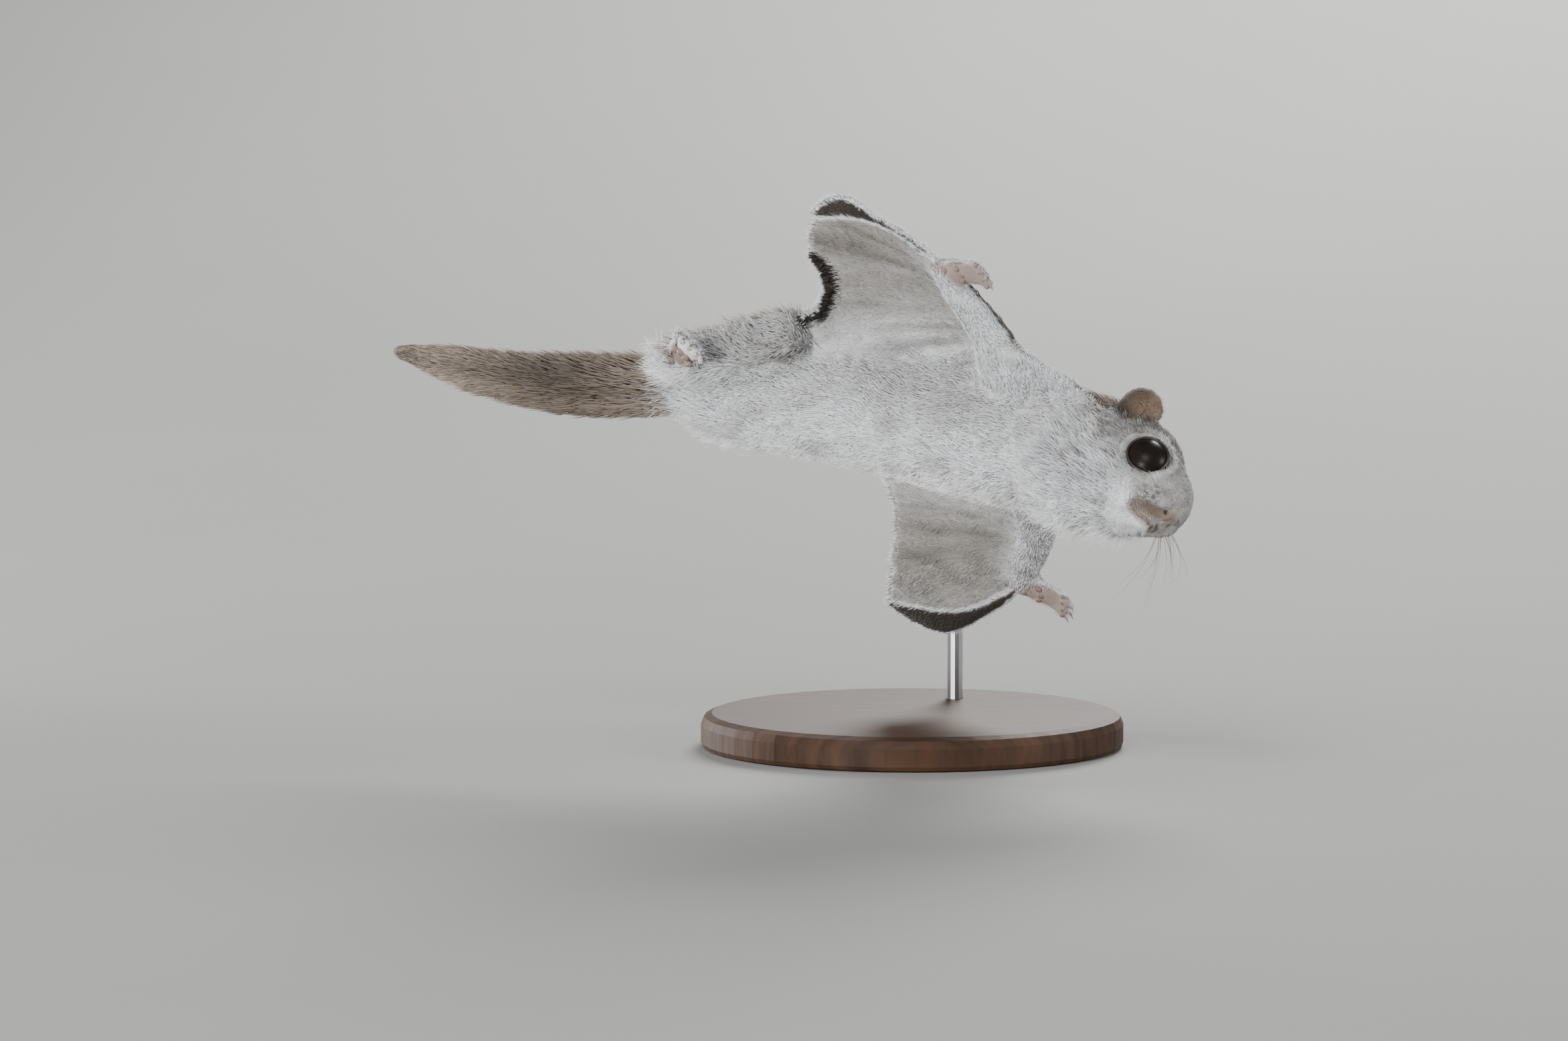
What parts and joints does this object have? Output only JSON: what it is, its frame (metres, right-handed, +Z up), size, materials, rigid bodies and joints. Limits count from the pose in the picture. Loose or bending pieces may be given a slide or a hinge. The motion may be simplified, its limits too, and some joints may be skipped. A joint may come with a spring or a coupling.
{
  "type": "flying squirrel",
  "caption": "Life-size flying squirrel in a banking glide with limbs and membranes spread, held by a bent rod on a round display base.",
  "frame": {"origin": "centre of the stand base's flat underside", "axes": "+Z up from the floor, +X towards the side the nose points to, which is the longest extent, -Y towards the side that shows the belly"},
  "size_m": [0.2315, 0.1631, 0.1686],
  "materials": {
    "coat_white": "short dense winter fur, matte",
    "coat_grey": "short dense grey fur, matte",
    "membrane": "thin membrane with very short fur, matte",
    "tail_hair": "long soft tail hair, matte",
    "ear_skin": "thin bare skin with fine down",
    "paw_skin": "bare pink pads and fine fur",
    "eye_dark": "wet dark eye, glossy",
    "stand_wood": "dark turned wood, satin",
    "stand_steel": "bent round rod, satin"
  },
  "bodies": {
    "root": {"torso": "coat_white", "neck": "coat_white", "head": "coat_white", "eye_right": "eye_dark", "ear_right": "ear_skin", "upper_arm_right": "coat_white", "forearm_right": "coat_white", "hand_right": "paw_skin", "thigh_right": "coat_white", "shank_right": "coat_white", "foot_right": "paw_skin", "wing_right": "membrane", "fore_wing_right": "coat_grey", "wing_tip_right": "membrane", "eye_left": "eye_dark", "ear_left": "ear_skin", "upper_arm_left": "coat_white", "forearm_left": "coat_white", "hand_left": "paw_skin", "thigh_left": "coat_white", "shank_left": "coat_white", "foot_left": "paw_skin", "wing_left": "membrane", "fore_wing_left": "coat_grey", "wing_tip_left": "membrane", "tail": "tail_hair", "stand_base": "stand_wood", "stand_rod": "stand_steel"}
  },
  "joints": []
}
